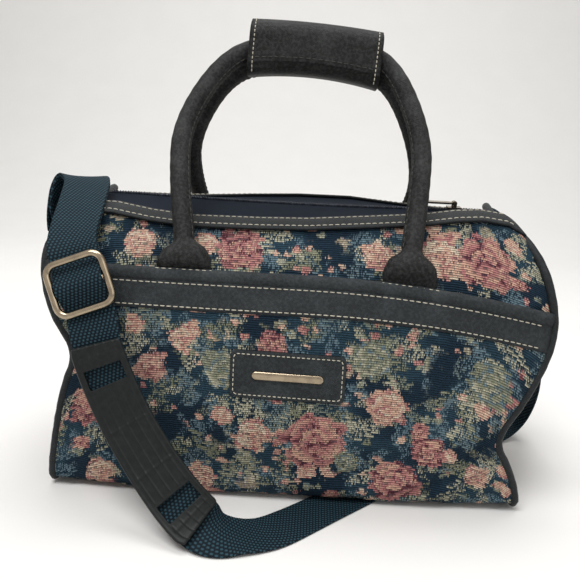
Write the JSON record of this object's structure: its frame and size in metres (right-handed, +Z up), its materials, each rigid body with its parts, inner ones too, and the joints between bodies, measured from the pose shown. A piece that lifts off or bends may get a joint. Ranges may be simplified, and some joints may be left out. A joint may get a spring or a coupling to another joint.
{
  "type": "carpet bag",
  "caption": "Soft tapestry travel bag with rolled leatherette handles, a wrapped grip, a top zipper, a banded front pocket and a webbing shoulder strap with a pad.",
  "frame": {"origin": "on the floor under the middle of the bag", "axes": "+X along the bag to its right end, +Y to its back, +Z up"},
  "size_m": [0.47, 0.2893, 0.3858],
  "materials": {
    "tapestry": "woven tapestry with dusty florals on a navy teal ground",
    "leatherette": "matte grained slate leatherette",
    "piping": "dark rolled piping",
    "board": "stiff base board",
    "zip_tape": "navy zipper tape",
    "zip_coil": "navy nylon coil",
    "metal": "pale champagne metal",
    "core": "plain cord",
    "webbing": "navy twill webbing",
    "pad_rubber": "matte moulded rubber"
  },
  "bodies": {
    "bag": {"front_panel": "tapestry", "back_panel": "tapestry", "base_panel": "tapestry", "left_end_panel": "tapestry", "right_end_panel": "tapestry", "pocket_panel": "tapestry", "left_piping": "piping", "right_piping": "piping", "base_board": "board", "zip_facing_front": "leatherette", "zip_facing_back": "leatherette", "zipper_tape_front": "zip_tape", "zipper_tape_back": "zip_tape", "zipper_coil": "zip_coil", "pocket_band": "leatherette", "pocket_binding": "leatherette", "label_patch": "leatherette", "front_handle": "leatherette", "rear_handle": "leatherette", "handle_wrap": "leatherette", "front_handle_core": "core", "rear_handle_core": "core", "shoulder_strap": "webbing", "strap_adjuster": "metal", "shoulder_pad": "pad_rubber", "left_ring_tab": "leatherette", "right_ring_tab": "leatherette"},
    "zipper_slider": {"zipper_slider": "metal"},
    "zipper_pull": {"zipper_pull": "metal"},
    "left_ring": {"left_ring": "metal"},
    "right_ring": {"right_ring": "metal"}
  },
  "joints": [
    {"name": "zipper_slide", "type": "slide", "parent": "bag", "child": "zipper_slider", "axis": [1, 0, 0], "range_m": [-0.262, 0]},
    {"name": "pull_hinge", "type": "hinge", "parent": "zipper_slider", "child": "zipper_pull", "pos_m": [0.138, -0.00066, 0.24427], "axis": [0, 0.9945, 0.1045], "range_deg": [0, 170]},
    {"name": "left_ring_swing", "type": "hinge", "parent": "bag", "child": "left_ring", "pos_m": [-0.20137, 0, 0.19018], "axis": [0, 1, 0], "range_deg": [-4, 4]},
    {"name": "right_ring_swing", "type": "hinge", "parent": "bag", "child": "right_ring", "pos_m": [0.20619, 0, 0.19154], "axis": [0, 1, 0], "range_deg": [-4, 4]}
  ]
}
